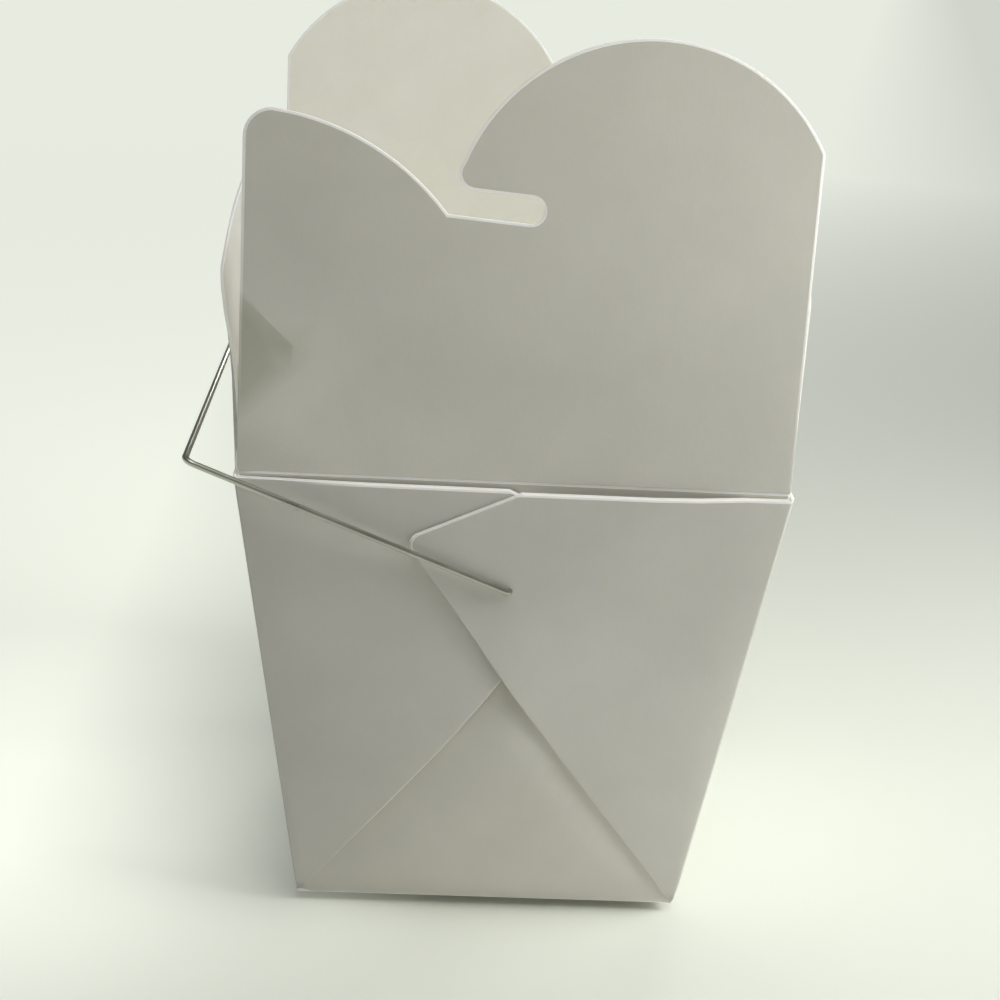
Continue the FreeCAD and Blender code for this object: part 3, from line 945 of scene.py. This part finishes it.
def makeBail(cut):
    route = bailRoute(cut, hinges["bail_swing"].z)
    rounds = [cut["eyeRound"], cut["eyeRound"], cut["cornerRound"]]
    rounds += rounds[::-1]
    bpy.ops.mesh.primitive_circle_add(vertices=cut["sides"], radius=cut["diameter"] / 2, fill_type="NGON",
                                      location=route[0])
    piece = named("wireBail")
    openEdit(piece)
    bpy.ops.mesh.select_mode(type="FACE")
    bpy.ops.mesh.select_all(action="SELECT")
    here = route[0].copy()
    for index in range(1, len(route) - 1):
        before = (route[index] - route[index - 1]).normalized()
        after = (route[index + 1] - route[index]).normalized()
        turn = before.angle(after)
        reach = rounds[index - 1] * math.tan(turn / 2)
        bendStart = route[index] - before * reach
        bpy.ops.mesh.extrude_region_move(TRANSFORM_OT_translate={"value": bendStart - here})
        axis = before.cross(after).normalized()
        centre = bendStart + axis.cross(before).normalized() * rounds[index - 1]
        bpy.ops.mesh.spin(steps=9, angle=-turn, center=centre, axis=axis)
        here = route[index] + after * reach
    bpy.ops.mesh.extrude_region_move(TRANSFORM_OT_translate={"value": route[-1] - here})
    bpy.ops.mesh.select_all(action="SELECT")
    bpy.ops.mesh.remove_doubles(threshold=0.001)
    bpy.ops.mesh.normals_make_consistent(inside=False)
    closeEdit()
    piece.data.materials.append(wireSteel)
    addModifier(piece, "BEVEL", width=cut["chamfer"], segments=2, limit_method="ANGLE",
                angle_limit=math.radians(board["sharpFrom"]))
    bpy.ops.object.shade_smooth_by_angle(angle=math.radians(board["smoothTo"]))
    toMetres(piece)
    print("bail:", len(piece.data.polygons), "faces")
    return piece


# making the pieces
body = makeCarton(carton)
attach(body, "carton")
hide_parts("carton_body")

# each flap leans out of upright, is turned by quarters to its own wall, and is bent
flaps = [
    ("frontLockFlap", "front_lock", "front_lock_flap", "front_lock_crease",
     lockFlap["frontLean"], 0, frontPush),
    ("rearLockFlap", "rear_lock", "rear_lock_flap", "rear_lock_crease",
     lockFlap["rearLean"], 2, rearPush),
    ("leftDustFlap", "left_dust", "left_dust_flap", "left_dust_crease",
     dustFlap["lean"], 3, leftPush),
    ("rightDustFlap", "right_dust", "right_dust_flap", "right_dust_crease",
     dustFlap["lean"], 1, rightPush),
]
for name, rider, node, hinge, lean, quarter, push in flaps:
    if "Lock" in name:
        flap = makeLockFlap(name, lockFlap, push)
    else:
        flap = makeDustFlap(name, dustFlap, push)
    standFlap(flap, lean, quarter, hinges[hinge])
    toMetres(flap)
    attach(flap, rider)
    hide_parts(node)

wire = makeBail(bail)
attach(wire, "bail")
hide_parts("wire_bail")


# floor, lamps, room and camera
stage = dict(
    floorSize=60.0,
    floorColour=(0.81, 0.84, 0.745),
    cloudScale=2.0, cloudTint=0.985,
    awayColour=(0.70, 0.73, 0.655),    # where the light falls away, on the right
    awaySlant=-0.25, awayStart=0.025, awayEnd=0.17,
    baseGlow=0.04,                     # a painted glow on the paper, for the eye only: everywhere,
    leftGlow=0.51, leftStart=-0.10, leftEnd=-0.01,           # more of it on the left, painted light over the box's shadow there,
    frontShare=0.4, frontStart=-0.085, frontEnd=-0.02,       # less of that in front, where the box's shadow stays darker,
    patchGlow=0.22, patchPlace=(-0.10, -0.005, 0.0), patchStart=0.02, patchEnd=0.10,  # and one painted pool of light beside the box
    backColour=(0.80, 0.835, 0.75),    # the paper far off and the wall behind it
    awayBack=(0.63, 0.66, 0.595), beyondStart=3.5, beyondEnd=10.0,
    farStart=0.20, farEnd=1.0,         # the paper's shading gives way to a plain painted glow
    bounceColour=(0.88, 0.88, 0.82),   # what the paper throws back on the box
    roomLight=0.04, shine=0.10,        # the room as a lamp, and how much of it metal shows
)
# a sun is placed by degrees around from the rear and degrees up, and an area lamp in metres;
# a level is how bright the lamp makes a white sheet that faces it
lamps = dict(
    backLight=dict(kind="SUN", around=11, height=9, spread=20, level=0.50),
    topLight=dict(kind="SUN", around=165, height=70, spread=35, level=0.31),
    sideLight=dict(kind="AREA", place=(0.38, 0.02, 0.20), size=0.25, level=0.33),
    frontLight=dict(kind="AREA", place=(0.30, -0.12, 0.30), size=0.2, level=0.50),
)


# the paper is lit as any surface where it is near, and glows plainly where it is far off; for the eye only,
# painted light glows on it near the box, and it is painted darker on the right
def makeFloor(look):
    bpy.ops.mesh.primitive_plane_add(size=look["floorSize"], location=(0, 0, 0))
    floor = named("floor")
    tree = Tree("floorPaper")
    place = tree.add("ShaderNodeTexCoord").outputs["Object"]
    path = tree.add("ShaderNodeLightPath")
    seen = tree.math("MAXIMUM", path.outputs["Is Camera Ray"], path.outputs["Is Glossy Ray"])
    cloud = tree.noise(place, look["cloudScale"], 2.0, 0.5)
    darker = tuple(channel * look["cloudTint"] for channel in look["floorColour"])
    near = tree.mixColour(cloud, darker, look["floorColour"])
    spot = tree.add("ShaderNodeSeparateXYZ")
    tree.join(place, spot.inputs[0])
    slant = tree.math("MULTIPLY_ADD", spot.outputs["Y"], look["awaySlant"], spot.outputs["X"])
    distance = tree.distance(place, (0, 0, 0))
    away = tree.math("MULTIPLY", tree.ramp(slant, look["awayStart"], look["awayEnd"]),
                     tree.ramp(distance, look["beyondStart"], look["beyondEnd"], 1.0, 0.0))
    shown = tree.mixColour(away, near, look["awayColour"])
    far = tree.ramp(distance, look["farStart"], look["farEnd"])
    shown = tree.mixColour(far, shown, (0, 0, 0))
    tree.join(tree.mixColour(seen, look["bounceColour"], shown), tree.shader.inputs["Base Color"])
    tree.shader.inputs["Roughness"].default_value = 0.8
    tree.shader.inputs["Specular IOR Level"].default_value = 0.0
    # painted light, seen by the eye only: a glow strongest on the left and in a pool beside the box, weaker
    # in front
    left = tree.ramp(spot.outputs["X"], look["leftStart"], look["leftEnd"], look["leftGlow"], 0.0)
    front = tree.ramp(spot.outputs["Y"], look["frontStart"], look["frontEnd"], look["frontShare"], 1.0)
    patch = tree.ramp(tree.distance(place, look["patchPlace"]), look["patchStart"], look["patchEnd"],
                      look["patchGlow"] + look["baseGlow"], look["baseGlow"])
    glow = tree.math("ADD", patch, tree.math("MULTIPLY", left, front))
    glow = tree.math("MULTIPLY_ADD", far, tree.math("SUBTRACT", 1.0, glow), glow)
    glowColour = tree.mixColour(away, look["backColour"], look["awayBack"])
    tree.join(glowColour, tree.shader.inputs["Emission Color"])
    tree.join(tree.math("MULTIPLY", seen, glow), tree.shader.inputs["Emission Strength"])
    floor.data.materials.append(tree.material)


def makeLamp(name, lamp):
    if lamp["kind"] == "SUN":
        around, height = math.radians(lamp["around"]), math.radians(lamp["height"])
        flat = math.cos(height)
        way = Vector((math.sin(around) * flat, math.cos(around) * flat, math.sin(height)))
        bpy.ops.object.light_add(type="SUN", location=way * 2)
        light = bpy.context.object
        light.data.angle = math.radians(lamp["spread"])
        light.data.energy = math.pi * lamp["level"]
    else:
        middle = Vector((0, 0, 0.07))  # of the box
        way = Vector(lamp["place"]) - middle
        bpy.ops.object.light_add(type="AREA", location=lamp["place"])
        light = bpy.context.object
        light.data.size = lamp["size"]
        light.data.energy = math.pi ** 2 * way.length_squared * lamp["level"]
        light.visible_glossy = False
    light.name = name
    light.visible_camera = False
    light.rotation_euler = way.to_track_quat("Z", "Y").to_euler()


# a dim room that the eye sees at its full colour, and the lamps
def makeLights(look):
    world = bpy.data.worlds.new("room")
    bpy.context.scene.world = world
    world.use_nodes = True
    nodes, links = world.node_tree.nodes, world.node_tree.links
    paper = nodes["Background"]
    paper.inputs["Color"].default_value = (*look["backColour"], 1)
    path = nodes.new("ShaderNodeLightPath")
    shine = nodes.new("ShaderNodeMath")
    shine.operation = "MULTIPLY_ADD"
    links.new(path.outputs["Is Glossy Ray"], shine.inputs[0])
    shine.inputs[1].default_value = look["shine"]
    shine.inputs[2].default_value = look["roomLight"]
    seen = nodes.new("ShaderNodeMath")
    seen.operation = "MAXIMUM"
    links.new(path.outputs["Is Camera Ray"], seen.inputs[0])
    links.new(shine.outputs[0], seen.inputs[1])
    links.new(seen.outputs[0], paper.inputs["Strength"])
    for name, lamp in lamps.items():
        makeLamp(name, lamp)


camera = dict(
    place=(-0.020244, -0.377421, 0.202145),
    turn=-3.11, down=18.82, tilt=3.466,
    lens=68.0, sensor=36,
)


def makeCamera(view):
    bpy.ops.object.camera_add()
    eye = bpy.context.object
    eye.name = "camera"
    eye.data.lens = view["lens"]
    eye.data.sensor_width = view["sensor"]
    eye.data.clip_start, eye.data.clip_end = 0.01, 50
    eye.matrix_world = (Matrix.Translation(view["place"])
                        @ Matrix.Rotation(math.radians(view["turn"]), 4, "Z")
                        @ Matrix.Rotation(math.radians(90 - view["down"]), 4, "X")
                        @ Matrix.Rotation(math.radians(view["tilt"]), 4, "Z"))
    bpy.context.scene.camera = eye


makeFloor(stage)
makeLights(stage)
makeCamera(camera)
print("stage:", len(lamps), "lamps, floor and camera")
bpy.context.scene.view_settings.view_transform = "Standard"
